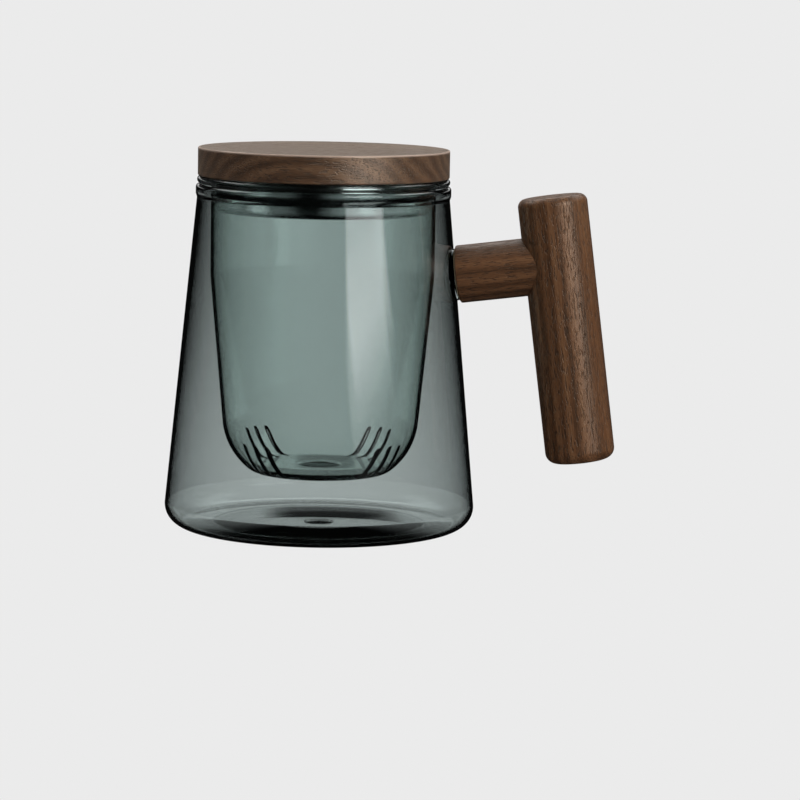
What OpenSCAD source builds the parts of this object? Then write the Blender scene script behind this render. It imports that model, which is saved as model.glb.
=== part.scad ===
// Lidded tea mug with an infuser cup: a smoked glass mug with a T-shaped wooden handle,
// a hanging glass infuser with slots round its corner, and a wooden lid with a steel liner.
// Millimetres. The table is at z = 0, the mug's axis is Z and the handle points along +X.

/* [Mug glass] */
// Height of the mug's lip above the table
mug_h = 109.5; // [95:0.5:130]
// Diameter of the wall's cone where it would meet the table
mug_base_d = 100.6; // [90:0.2:116]
// Inner diameter of the mouth, at the lip
mouth_d = 76.6; // [66:0.2:84]
// Thickness of the mug's wall at the neck
mug_wall = 1.6; // [1.2:0.1:3]
// Thickness of the mug's wall at the foot, towards which it tapers
mug_wall_low = 0.9; // [0.8:0.1:3]
// Thickness of the mug's floor, measured over the foot ring
mug_floor = 1.1; // [1:0.1:6]
// Outer radius of the heel, between the wall and the underside
mug_heel_r = 6.7; // [4:0.1:10]
// Inner radius of the heel
mug_inner_heel_r = 5.9; // [3:0.1:9]
// Distance from the heel's arc in to the foot ring's inner edge
foot_w = 9; // [4:0.5:14]
// Width of the flat foot ring, with its rounded inner edge
ring_w = 1.5; // [1:0.1:3]
// Rise of the underside from the foot ring out to the heel's arc
foot_rise = 0.16; // [0:0.02:0.4]
// Depth of the hollow inside the foot ring, and radius of the ring's inner edge
punt_h = 0.3; // [0.1:0.05:0.5]
// Diameter of the low pip at the middle of the mug's floor
pip_d = 10; // [6:0.5:20]
// Height of that pip
pip_h = 0.3; // [0.1:0.05:0.8]

/* [Mug lip] */
// How far the wall's inside stands back from the mouth, under the lip
lip_relief = 0.3; // [0:0.1:0.8]
// Height of the thickened lip
lip_h = 4.2; // [3:0.1:7]
// How far the lip stands out from the wall below it
lip_bulge = 0.4; // [0.2:0.1:0.8]
// Radius on the lip's two top edges, at most half the lip's thickness
lip_round = 1.2; // [0.5:0.1:1.8]

/* [Infuser] */
// Space between the mug's floor and the infuser's underside
under_gap = 16.3; // [6:0.1:24]
// Length of the straight wall below the flange
infuser_straight = 29; // [15:0.5:36]
// Diameter of the tapered wall where it would meet the plane of the underside
infuser_base_d = 59.6; // [58:0.1:62]
// Thickness of the infuser's wall
infuser_wall = 1.1; // [0.9:0.1:1.8]
// Thickness of the infuser's floor
infuser_floor = 2.2; // [1.6:0.1:3]
// Outer radius of the wide arc between the infuser's wall and its corner
infuser_heel_r = 22; // [18:0.5:30]
// Outer radius of the corner round the infuser's underside
infuser_corner_r = 7; // [5:0.5:9]
// Diameter of the flat underside, where that corner starts
underside_d = 38; // [37:0.5:40]
// Inner radius of the corner round the infuser's floor
inner_corner_r = 3.5; // [2.5:0.1:4]
// Diameter of the flat floor, where the inner corner starts
floor_d = 42; // [38:0.5:43]
// Thickness of the flange that hangs on the mug's lip
flange_t = 2.3; // [1.6:0.1:3.2]
// Radius of the blend under the flange
flange_fillet = 1.2; // [0.4:0.1:1.5]
// Diameter of the low mound at the middle of the infuser's floor
mound_d = 15.4; // [8:0.2:20]
// Height of that mound
mound_h = 0.8; // [0.3:0.1:1.5]

/* [Infuser slots] */
// Number of slot groups round the corner
slot_groups = 4; // [2:1:6]
// Number of parallel slots in a group
group_slots = 3; // [1:1:4]
// Width of a slot
slot_w = 1.2; // [0.8:0.1:1.8]
// Distance between neighbouring slots of a group
slot_pitch = 4.8; // [3.4:0.1:6]
// Depth of the saw's cut into the corner, at the slot's middle
slot_depth = 3.3; // [2.8:0.1:4]
// Radius of the saw blade that cuts the slots
blade_r = 30; // [24:0.5:60]
// How steeply a slot's middle faces downwards
slot_dip = 40; // [36:1:44]
// Azimuth of the first group from the handle
slot_azimuth = 56; // [0:1:90]

/* [Lid] */
// Thickness of the wooden disc
lid_t = 8.9; // [6:0.1:14]
// Radius on the disc's edges
lid_edge_r = 0.4; // [0.2:0.1:1.5]
// How far the lid's edge lies inside the flange's edge
lid_inset = 0.2; // [0:0.1:1.5]
// Depth of the steel liner below the disc
liner_depth = 11.4; // [8:0.1:16]
// Thickness of the liner's sheet
liner_t = 0.5; // [0.4:0.05:0.8]
// Outer radius of the liner's lower corner
liner_corner_r = 2.6; // [1.5:0.1:4]
// Depth of the groove that takes the liner's rim
liner_groove = 1.2; // [0.6:0.1:3]

/* [Handle] */
// Depth below the lip at which the arm's axis meets the mug's axis
arm_drop = 33.1; // [28:0.1:44]
// Rise of the arm from the horizontal, and lean of the grip
arm_tilt = 7.65; // [0:0.05:10]
// Diameter of the arm
arm_d = 18.3; // [14:0.1:20]
// Diameter of the grip
grip_d = 22; // [20.5:0.1:26]
// Clear length of the arm between the mug's boss and the grip
arm_len = 21.2; // [19:0.1:30]
// Length of the grip above the arm's axis
grip_up = 21.5; // [14:0.5:30]
// Length of the grip below the arm's axis
grip_down = 63; // [40:0.5:70]
// Radius on the grip's top edge
grip_top_r = 2.6; // [0.5:0.1:4]
// Radius on the grip's bottom edge
grip_end_r = 3.4; // [0.5:0.1:6]
// Radius on the arm's edge at the mug
arm_edge_r = 0.5; // [0.2:0.1:1.5]

/* [Handle joints] */
// Stand-off of the glass boss from the wall, on the arm's axis
boss_h = 1; // [0.5:0.1:3]
// How far the boss's edge lies inside the arm's edge
boss_inset = 0.95; // [0:0.05:2]
// Diameter of the glass stud inside the arm
stud_d = 9; // [6:0.1:10]
// Length of the stud beyond the boss
stud_len = 10; // [6:0.1:11]
// Thickness of the pad between the boss and the arm
pad_t = 0.3; // [0.2:0.1:1.5]
// Diameter of the dowel between the arm and the grip
dowel_d = 6; // [4:0.1:8]
// Length of the dowel in each of the two
dowel_hold = 7; // [4:0.1:7.5]

/* [Clearances] */
// Gap between stacked rims: lip, flange and lid
seat_gap = 0.2; // [0.1:0.05:0.5]
// Gap between the infuser's wall and the mug's mouth
mouth_gap = 2.6; // [1.8:0.1:4]
// Gap between the liner and the infuser's wall
liner_gap = 0.2; // [0.15:0.05:0.8]
// How far the flange's edge lies inside the lip's edge
flange_inset = 0.4; // [0:0.1:1]
// Glue gap round studs, dowels and curved seats
glue_gap = 0.1; // [0.05:0.01:0.2]

/* [Hidden] */
$fn = 96;
arc_steps = 12;    // facets along a quarter-round or a blend
past = 1;          // how far a cutter runs past the solid that it cuts

glass_colour = [0.30, 0.34, 0.34, 0.45];
infuser_colour = [0.40, 0.47, 0.46, 0.45];
walnut_colour = [0.34, 0.22, 0.16];
walnut_end_colour = [0.38, 0.26, 0.19];
steel_colour = [0.70, 0.71, 0.72];
pad_colour = [0.75, 0.68, 0.55];
dowel_colour = [0.80, 0.66, 0.47];

// Radii from the mouth outwards and inwards
mouth_r = mouth_d / 2;
neck_r = mouth_r + lip_relief + mug_wall;
neck_z = mug_h - lip_h;
lip_r = neck_r + lip_bulge;
lip_edge_r = min(lip_round, (lip_r - mouth_r) / 2);
flange_r = lip_r - flange_inset;
lid_r = flange_r - lid_inset;
infuser_r = mouth_r - mouth_gap;
infuser_bore_r = infuser_r - infuser_wall;
liner_r = infuser_bore_r - liner_gap;

// Heights of the stack, from the lip up
flange_z = mug_h + seat_gap;
flange_top = flange_z + flange_t;
lid_z = flange_top + seat_gap;
lid_top = lid_z + lid_t;
liner_z = lid_z - liner_depth;

// The mug's wall: its lean is negative because it narrows upwards
mug_base_r = mug_base_d / 2;
mug_lean = atan((neck_r - mug_base_r) / neck_z);
mug_inner_foot_r = mug_base_r - mug_wall_low / cos(mug_lean);
mug_inner_lean = atan((neck_r - mug_wall - mug_inner_foot_r) / neck_z);
mug_inner_base_r = mug_inner_foot_r + mug_floor * tan(mug_inner_lean);

// The mug's foot: the underside is tilted a little between the foot ring and the heel
foot_base_r = mug_base_r + foot_rise * tan(mug_lean);
foot_out_r = heel_centre(foot_base_r, foot_rise, mug_lean, mug_heel_r)[0];
foot_in_r = foot_out_r - foot_w;
foot_tilt = atan(foot_rise / (foot_w - ring_w));

// The infuser's wall
infuser_z = mug_floor + under_gap;
taper_z = flange_z - infuser_straight;
infuser_base_r = infuser_base_d / 2;
infuser_lean = atan((infuser_r - infuser_base_r) / (taper_z - infuser_z));
infuser_inner_z = infuser_z + infuser_floor;
infuser_inner_base_r = infuser_base_r + infuser_floor * tan(infuser_lean)
                       - infuser_wall / cos(infuser_lean);
infuser_inner_heel_r = infuser_heel_r - infuser_wall;

// The handle: distances with s in their names run along the arm's axis from the mug's axis
arm_z = mug_h - arm_drop;
arm_r = arm_d / 2;
boss_r = arm_r - boss_inset;
grip_r = grip_d / 2;
wall_s = (mug_base_r + arm_z * tan(mug_lean))
         / (cos(arm_tilt) - sin(arm_tilt) * tan(mug_lean));
boss_s = wall_s + boss_h;
arm_s = boss_s + pad_t;
grip_s = arm_s + arm_len + grip_r;
stud_s = boss_s + stud_len;
saddle_s = grip_s - grip_r;
dowel_s = saddle_s - dowel_hold;

// Centre of a heel: a circle that touches the plane z and a wall leaning outwards by lean
function heel_centre(base_r, z, lean, r) = [base_r + r * tan(lean) - r / cos(lean), z + r];

// Points on a circle's arc, from angle a0 to angle a1, which may leave out its first point
function arc(c, r, a0, a1, first = 0) =
    [for (i = [first:arc_steps]) let (a = a0 + (a1 - a0) * i / arc_steps)
        [c[0] + r * cos(a), c[1] + r * sin(a)]];

// Points round a heel, from the floor, which may be tilted, to the wall
function heel(base_r, z, lean, r, tilt = 0) =
    arc(heel_centre(base_r, z, lean, r), r, tilt - 90, -lean);

// Centre of the wide arc above a corner: it touches the wall and holds the corner's circle
function wide_centre(base_r, z, lean, flat_r, corner_r, wide_r) =
    let (reach = (base_r - flat_r) * cos(lean) + corner_r * sin(lean),
         climb = sqrt(pow(wide_r - corner_r, 2) - pow(wide_r - reach, 2)))
    [flat_r, z + corner_r] + (reach - wide_r) * [cos(lean), -sin(lean)]
        + climb * [sin(lean), cos(lean)];

// Points round a corner that starts at flat_r and the wide arc above it, up to the wall
function two_arc_heel(base_r, z, lean, flat_r, corner_r, wide_r) =
    let (corner = [flat_r, z + corner_r],
         wide = wide_centre(base_r, z, lean, flat_r, corner_r, wide_r),
         turn = atan2(corner[1] - wide[1], corner[0] - wide[0]))
    concat(arc(corner, corner_r, -90, turn), arc(wide, wide_r, turn, -lean, 1));

// Points on a shallow dome over the axis, from the centre out to radius r at height z
function dome(r, z, h) =
    let (sphere_r = (r * r + h * h) / (2 * h), reach = asin(r / sphere_r))
    [for (i = [0:arc_steps]) let (a = reach * i / arc_steps)
        [sphere_r * sin(a), z + h - sphere_r * (1 - cos(a))]];

// Places its children in the arm's frame: +Z runs out along the arm, +X down the grip
module on_arm(s = 0) {
    translate([0, 0, arm_z]) rotate([0, 90 - arm_tilt, 0]) translate([0, 0, s]) children();
}

// Everything inside the mug's outer skin
module mug_outer() {
    rotate_extrude()
        polygon(concat(
            [[0, punt_h]],
            arc([foot_in_r + punt_h, punt_h], punt_h, 180, 270),
            [[foot_in_r + ring_w, 0]],
            heel(foot_base_r, foot_rise, mug_lean, mug_heel_r, foot_tilt),
            [[neck_r, neck_z], [lip_r, neck_z + lip_edge_r]],
            arc([lip_r - lip_edge_r, mug_h - lip_edge_r], lip_edge_r, 0, 90),
            [[0, mug_h]]));
}

// The space inside the mug, running past the mouth
module mug_cavity() {
    rotate_extrude()
        polygon(concat(
            dome(pip_d / 2, mug_floor, pip_h),
            heel(mug_inner_base_r, mug_floor, mug_inner_lean, mug_inner_heel_r),
            [[neck_r - mug_wall, neck_z], [mouth_r, neck_z + lip_edge_r]],
            arc([mouth_r + lip_edge_r, mug_h - lip_edge_r], lip_edge_r, 180, 90),
            [[mouth_r + lip_edge_r, mug_h + past], [0, mug_h + past]]));
}

// Boss and stud that are fused to the wall and carry the handle
module handle_stud() {
    on_arm() cylinder(r = boss_r, h = boss_s);
    on_arm() cylinder(d = stud_d, h = stud_s);
}

module mug_body() {
    color(glass_colour)
        difference() {
            union() {
                mug_outer();
                handle_stud();
            }
            mug_cavity();
        }
}

// The infuser's outer skin, with its flange
module infuser_outer() {
    rotate_extrude()
        polygon(concat(
            [[0, infuser_z]],
            two_arc_heel(infuser_base_r, infuser_z, infuser_lean,
                         underside_d / 2, infuser_corner_r, infuser_heel_r),
            [[infuser_r, taper_z]],
            arc([infuser_r + flange_fillet, flange_z - flange_fillet], flange_fillet, 180, 90),
            arc([flange_r - flange_t / 2, flange_z + flange_t / 2], flange_t / 2, -90, 90),
            [[0, flange_top]]));
}

// The space inside the infuser, with the mound left standing on its floor
module infuser_cavity() {
    rotate_extrude()
        polygon(concat(
            dome(mound_d / 2, infuser_inner_z, mound_h),
            two_arc_heel(infuser_inner_base_r, infuser_inner_z, infuser_lean,
                         floor_d / 2, inner_corner_r, infuser_inner_heel_r),
            [[infuser_bore_r, taper_z], [infuser_bore_r, flange_top + past],
             [0, flange_top + past]]));
}

// One group of parallel saw cuts through the corner
module slot_group() {
    blade_reach = infuser_corner_r - slot_depth + blade_r;
    blade_x = underside_d / 2 + blade_reach * cos(slot_dip);
    blade_z = infuser_z + infuser_corner_r - blade_reach * sin(slot_dip);
    for (i = [0:group_slots - 1])
        translate([blade_x, (i - (group_slots - 1) / 2) * slot_pitch, blade_z])
            rotate([90, 0, 0]) cylinder(r = blade_r, h = slot_w, center = true);
}

module infuser_cup() {
    color(infuser_colour)
        difference() {
            infuser_outer();
            infuser_cavity();
            for (i = [0:slot_groups - 1])
                rotate([0, 0, slot_azimuth + i * 360 / slot_groups]) slot_group();
        }
}

// The wooden disc, with a spigot that fills the liner and a groove for the liner's rim
module lid_disc() {
    spigot_r = liner_r - liner_t - glue_gap;
    spigot_z = liner_z + liner_t + glue_gap;
    groove_top = lid_z + liner_groove + glue_gap;
    color(walnut_colour)
        difference() {
            rotate_extrude()
                polygon(concat(
                    [[0, spigot_z]],
                    heel(spigot_r, spigot_z, 0, liner_corner_r - liner_t),
                    [[spigot_r, lid_z]],
                    arc([lid_r - lid_edge_r, lid_z + lid_edge_r], lid_edge_r, -90, 0),
                    arc([lid_r - lid_edge_r, lid_top - lid_edge_r], lid_edge_r, 0, 90),
                    [[0, lid_top]]));
            rotate_extrude()
                translate([spigot_r, lid_z - past])
                    square([liner_t + 2 * glue_gap, groove_top - lid_z + past]);
        }
}

// The steel liner: a shallow pan whose rim sits in the disc's groove
module lid_liner() {
    rim_z = lid_z + liner_groove;
    inner_r = liner_r - liner_t;
    inner_z = liner_z + liner_t;
    color(steel_colour)
        rotate_extrude()
            difference() {
                polygon(concat(
                    [[0, liner_z]],
                    heel(liner_r, liner_z, 0, liner_corner_r),
                    [[liner_r, rim_z], [0, rim_z]]));
                polygon(concat(
                    [[0, inner_z]],
                    heel(inner_r, inner_z, 0, liner_corner_r - liner_t),
                    [[inner_r, rim_z + past], [0, rim_z + past]]));
            }
}

// The arm: bored for the stud at the mug's end, coped to the grip and bored for the dowel
module handle_arm() {
    stud_bore_r = stud_d / 2 + glue_gap;
    dowel_bore_r = dowel_d / 2 + glue_gap;
    color(walnut_end_colour)
        difference() {
            on_arm(arm_s)
                rotate_extrude()
                    polygon(concat(
                        [[0, 0]],
                        arc([arm_r - arm_edge_r, arm_edge_r], arm_edge_r, -90, 0),
                        [[arm_r, grip_s - arm_s], [0, grip_s - arm_s]]));
            on_arm(arm_s - past) cylinder(r = stud_bore_r, h = stud_s + glue_gap - arm_s + past);
            on_arm(dowel_s - glue_gap) cylinder(r = dowel_bore_r, h = grip_s - dowel_s);
            on_arm(grip_s) rotate([0, 90, 0])
                cylinder(r = grip_r + glue_gap, h = 4 * arm_r, center = true);
        }
}

// The grip: a turned bar across the arm's end, bored for the dowel
module handle_grip() {
    color(walnut_colour)
        difference() {
            on_arm(grip_s) rotate([0, -90, 0]) translate([0, 0, -grip_down])
                rotate_extrude()
                    polygon(concat(
                        [[0, 0]],
                        arc([grip_r - grip_end_r, grip_end_r], grip_end_r, -90, 0),
                        arc([grip_r - grip_top_r, grip_down + grip_up - grip_top_r],
                            grip_top_r, 0, 90),
                        [[0, grip_down + grip_up]]));
            on_arm(saddle_s - past)
                cylinder(r = dowel_d / 2 + glue_gap, h = dowel_hold + glue_gap + past);
        }
}

// The dowel that pins the arm to the grip
module handle_dowel() {
    color(dowel_colour)
        on_arm(dowel_s) cylinder(d = dowel_d, h = 2 * dowel_hold);
}

// The thin pad between the glass boss and the arm
module handle_pad() {
    color(pad_colour)
        on_arm(boss_s)
            difference() {
                cylinder(r = boss_r, h = pad_t);
                translate([0, 0, -past]) cylinder(r = stud_d / 2 + glue_gap, h = pad_t + 2 * past);
            }
}

mug_body();
infuser_cup();
lid_disc();
lid_liner();
handle_arm();
handle_grip();
handle_dowel();
handle_pad();
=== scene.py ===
"""Looks of the lidded infuser mug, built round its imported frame.

The glass, wood and steel pieces are smooth skins worked out from their profiles, each in the
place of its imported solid. Metres, +Z up, +X towards the handle, the table at z = 0.
"""
import logging
import math
from collections.abc import Callable, Sequence
from dataclasses import dataclass, field
from enum import Enum
from typing import Any, ClassVar, TypeAlias

import bpy
import numpy as np
from mathutils import Matrix, Vector


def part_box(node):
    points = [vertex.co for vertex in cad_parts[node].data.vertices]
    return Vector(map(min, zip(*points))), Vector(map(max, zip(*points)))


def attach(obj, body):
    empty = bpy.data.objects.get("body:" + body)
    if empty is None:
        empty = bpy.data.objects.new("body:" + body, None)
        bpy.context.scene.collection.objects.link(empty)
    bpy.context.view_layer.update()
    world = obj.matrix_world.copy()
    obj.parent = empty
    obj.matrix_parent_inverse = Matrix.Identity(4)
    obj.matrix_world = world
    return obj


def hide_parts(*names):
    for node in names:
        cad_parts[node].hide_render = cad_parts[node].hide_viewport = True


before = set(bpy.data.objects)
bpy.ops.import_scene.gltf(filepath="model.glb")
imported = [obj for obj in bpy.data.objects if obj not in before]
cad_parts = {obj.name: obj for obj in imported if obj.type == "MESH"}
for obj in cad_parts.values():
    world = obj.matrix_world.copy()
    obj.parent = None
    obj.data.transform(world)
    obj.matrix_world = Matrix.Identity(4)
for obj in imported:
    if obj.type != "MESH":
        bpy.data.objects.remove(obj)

Colour: TypeAlias = tuple[float, float, float]
Cells: TypeAlias = tuple[float, float, float]
Span: TypeAlias = tuple[float, float]
Number: TypeAlias = "Term | float"
Socket: TypeAlias = bpy.types.NodeSocket

LOG = logging.getLogger("infuser_mug")
WHITE: Colour = (1.0, 1.0, 1.0)

# A ray that has passed more glass surfaces than this has been back and forth in the walls.
DEEP_IN_GLASS = 7.5


# ---------------------------------------------------------------------------- shader maths


class Mixing(Enum):
    """How two colours are put together."""
    BLEND = "MIX"
    FILTER = "MULTIPLY"


class Bounce(Enum):
    """What a ray did at the surfaces on its way, as the Light Path node counts it."""
    MIRRORED = "Glossy Depth"
    SCATTERED = "Diffuse Depth"
    THROUGH = "Transmission Depth"


class Term:
    """A number that varies over a surface: its operators add Math nodes."""

    def __init__(self, graph: "Graph", socket: Socket) -> None:
        """Wraps an output socket of a graph."""
        self.graph = graph
        self.socket = socket

    def _math(self, operation: str, *values: Number) -> "Term":
        """Adds one Math node over the values and returns its result."""
        settings = {"operation": operation}
        return self.graph.term("ShaderNodeMath", 0, settings, dict(enumerate(values)))

    def __add__(self, other: Number) -> "Term":
        """self + other."""
        return self._math("ADD", self, other)

    def __sub__(self, other: Number) -> "Term":
        """self - other."""
        return self._math("SUBTRACT", self, other)

    def __rsub__(self, other: float) -> "Term":
        """other - self."""
        return self._math("SUBTRACT", other, self)

    def __mul__(self, other: Number) -> "Term":
        """self * other."""
        return self._math("MULTIPLY", self, other)

    def __truediv__(self, other: Number) -> "Term":
        """self / other."""
        return self._math("DIVIDE", self, other)

    def __pow__(self, other: Number) -> "Term":
        """self ** other."""
        return self._math("POWER", self, other)

    __radd__ = __add__
    __rmul__ = __mul__

    def above(self, level: float) -> "Term":
        """1 where the value is above the level, and 0 elsewhere."""
        return self._math("GREATER_THAN", self, level)

    def wave(self) -> "Term":
        """A wave from 0 to 1 that comes round once for each whole number of the value."""
        return self._math("SINE", self * math.tau) * 0.5 + 0.5

    def ramp(self, start: Number, stop: Number) -> "Term":
        """A smooth step, which falls where stop is under start.

        Args:
            start: the value at which the step begins.
            stop: the value at which it ends.

        Returns:
            3 t^2 - 2 t^3, where t goes from 0 at start to 1 at stop and stays there.
        """
        values = {"Value": self, "From Min": start, "From Max": stop}
        settings = {"interpolation_type": "SMOOTHSTEP", "clamp": True}
        return self.graph.term("ShaderNodeMapRange", 0, settings, values)


def mix(share: Term, low: Number, high: Number) -> Term:
    """A number that goes from low, at a share of 0, to high, at 1."""
    return low * (1 - share) + high * share


def distance(x: Term, y: Term) -> Term:
    """The square root of x squared plus y squared, kept a hair above 0."""
    return (x * x + y * y + 1e-12) ** 0.5


class Graph:
    """The node tree of a material or the world, emptied and ready for new nodes."""

    def __init__(self, tree: bpy.types.NodeTree) -> None:
        """Empties the tree."""
        self.tree = tree
        tree.nodes.clear()

    def _feed(self, socket: Socket, value: Any) -> None:
        """Links or sets one input socket.

        Args:
            socket: the input.
            value: a Term or an output socket to link, or a value to set.
        """
        source = value.socket if isinstance(value, Term) else value
        if isinstance(source, bpy.types.NodeSocket):
            self.tree.links.new(source, socket)
        elif isinstance(source, tuple) and socket.type == "RGBA":
            socket.default_value = (*source, 1.0)
        else:
            socket.default_value = source

    def node(self, kind: str, settings: dict[str, Any] | None = None,
             values: dict[str | int, Any] | None = None) -> bpy.types.Node:
        """Adds any node.

        Args:
            kind: the node's type.
            settings: its properties, which are set first.
            values: a value or a link for each of its input sockets, by name or number.

        Returns:
            The new node.
        """
        node = self.tree.nodes.new(kind)
        for name, value in (settings or {}).items():
            setattr(node, name, value)
        for name, value in (values or {}).items():
            self._feed(node.inputs[name], value)
        return node

    def term(self, kind: str, output: str | int, settings: dict[str, Any] | None = None,
             values: dict[str | int, Any] | None = None) -> Term:
        """Adds a node and returns one of its outputs as a number."""
        return Term(self, self.node(kind, settings, values).outputs[output])

    def place(self, turn: Sequence[float] = (0, 0, 0)) -> Socket:
        """Object coordinates, turned by Euler angles."""
        values = {"Vector": self.node("ShaderNodeTexCoord").outputs["Object"], "Rotation": turn}
        return self.node("ShaderNodeMapping", {}, values).outputs[0]

    def axes(self, vector: Socket) -> tuple[Term, Term, Term]:
        """The three parts of a vector."""
        parts = self.node("ShaderNodeSeparateXYZ", {}, {0: vector})
        return tuple(Term(self, parts.outputs[axis]) for axis in "XYZ")

    def noise(self, vector: Socket, cells: Cells, detail: float,
              roughness: float = 0.5, distortion: float = 0.0) -> Term:
        """Fractal noise.

        Args:
            vector: the place.
            cells: cells per metre along each axis.
            detail: how many finer layers are added.
            roughness: strength of each layer beside the one before.
            distortion: how far the pattern is pulled about.

        Returns:
            The noise, from 0 to 1.
        """
        settings = {"operation": "MULTIPLY"}
        stretched = self.node("ShaderNodeVectorMath", settings, {0: vector, 1: cells}).outputs[0]
        return self.term("ShaderNodeTexNoise", 0, {}, {
            "Vector": stretched, "Scale": 1.0, "Detail": detail, "Roughness": roughness,
            "Distortion": distortion})

    def blend(self, factor: Number, low: Colour | Socket, high: Colour | Socket,
              mixing: Mixing = Mixing.BLEND) -> Socket:
        """Puts two colours together.

        Args:
            factor: share of the second colour.
            low: the first colour.
            high: the second colour.
            mixing: how they are put together.

        Returns:
            A colour that goes from low, at a factor of 0, to high, at 1, or from low to low
            times high where it filters.
        """
        node = self.node("ShaderNodeMix", {"data_type": "RGBA", "blend_type": mixing.value})
        for number, value in ((0, factor), (6, low), (7, high)):
            self._feed(node.inputs[number], value)
        return node.outputs[2]

    def bump(self, height: Term, depth: float, strength: float) -> Socket:
        """A normal that is tilted by the slope of a height, which is given in units of depth."""
        values = {"Height": height, "Distance": depth, "Strength": strength}
        return self.node("ShaderNodeBump", {}, values).outputs[0]

    def rays(self, bounce: Bounce, times: float = 0.5) -> Term:
        """1 for rays that did this more often than so many times, and 0 for others."""
        return self.term("ShaderNodeLightPath", bounce.value).above(times)

    def output(self, surface: bpy.types.Node, **others: Socket) -> None:
        """Makes a shader the material's surface, and links its other outputs, by name."""
        values = {"Surface": surface.outputs[0], **others}
        self.node("ShaderNodeOutputMaterial", {}, values)


def new_material(name: str, paint: Callable[[Graph], None]) -> bpy.types.Material:
    """Makes a material.

    Args:
        name: its name.
        paint: what adds its nodes to an empty graph.

    Returns:
        The new material.
    """
    material = bpy.data.materials.new(name)
    material.use_nodes = True
    paint(Graph(material.node_tree))
    return material


# -------------------------------------------------------------------------------- finishes


@dataclass(frozen=True)
class Finish:
    """A finish, whose nodes each kind of finish adds in its own paint method.

    Attributes:
        name: the finish's name.
    """
    name: str

    def paint(self, graph: Graph) -> None:
        """Adds the finish's nodes to an empty graph."""
        raise NotImplementedError

    def material(self) -> bpy.types.Material:
        """The finish's new material."""
        return new_material(self.name, self.paint)


@dataclass(frozen=True)
class SmokedGlass(Finish):
    """Clear smoked glass: a tint that deepens where the surface is seen edge-on.

    Attributes:
        tint: share of light that one surface passes where it is seen square on.
        edge_low: share that is left of it edge-on, at the foot.
        edge_high: share that is left of it edge-on, at the top.
        foot: height at which the edges are edge_low's.
        top: height at which the edges are edge_high's.
        clear: height under which the tint doesn't deepen.
        absorption: what the thick parts absorb, per metre.
        depth_tint: the colour that long ways through the glass take on.
        index: refractive index.
    """
    tint: Colour
    edge_low: Colour
    edge_high: Colour
    foot: float
    top: float
    clear: float
    absorption: float
    depth_tint: Colour
    index: float = 1.47

    def paint(self, graph: Graph) -> None:
        """Adds clear glass with its tint on the surface and an absorbing inside.

        Args:
            graph: the material's empty graph.
        """
        height = graph.axes(graph.place())[2]
        edge = graph.blend(height.ramp(self.foot, self.top), self.edge_low, self.edge_high)
        facing = graph.term("ShaderNodeLayerWeight", "Facing", {}, {"Blend": 0.5})
        dimmed = graph.blend(facing * height.above(self.clear), WHITE, edge)
        glass = graph.node("ShaderNodeBsdfPrincipled", {}, {
            "Base Color": graph.blend(1.0, self.tint, dimmed, Mixing.FILTER), "Roughness": 0.0,
            "IOR": self.index, "Transmission Weight": 1.0})
        inside = graph.node("ShaderNodeVolumeAbsorption", {}, {
            "Color": self.depth_tint, "Density": self.absorption})
        graph.output(glass, Volume=inside.outputs[0])


@dataclass(frozen=True)
class PaintedEdgeHighlight:
    """Painted highlight: a paler colour along the top edge of a level disc, for the edge's gleam.

    Attributes:
        radius: the disc's radius.
        top: height of its top.
        colour: colour of the painted highlight.
        share: how much of it shows on the edge.
        inwards: how far it reaches in from the radius.
        downwards: how far it reaches down from the top.
        whole: how far in and down it doesn't fade.
    """
    radius: float
    top: float
    colour: Colour = (0.42, 0.31, 0.25)
    share: float = 0.8
    inwards: float = 0.0009
    downwards: float = 0.0008
    whole: float = 0.0002

    def highlight_share(self, graph: Graph) -> Term:
        """How much of the painted highlight shows.

        Args:
            graph: the wood's graph.

        Returns:
            The share on the edge, which fades to 0 inwards and downwards.
        """
        x, y, z = graph.axes(graph.place())
        rim = distance(x, y).ramp(self.radius - self.inwards, self.radius - self.whole)
        return rim * z.ramp(self.top - self.downwards, self.top - self.whole) * self.share


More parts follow.
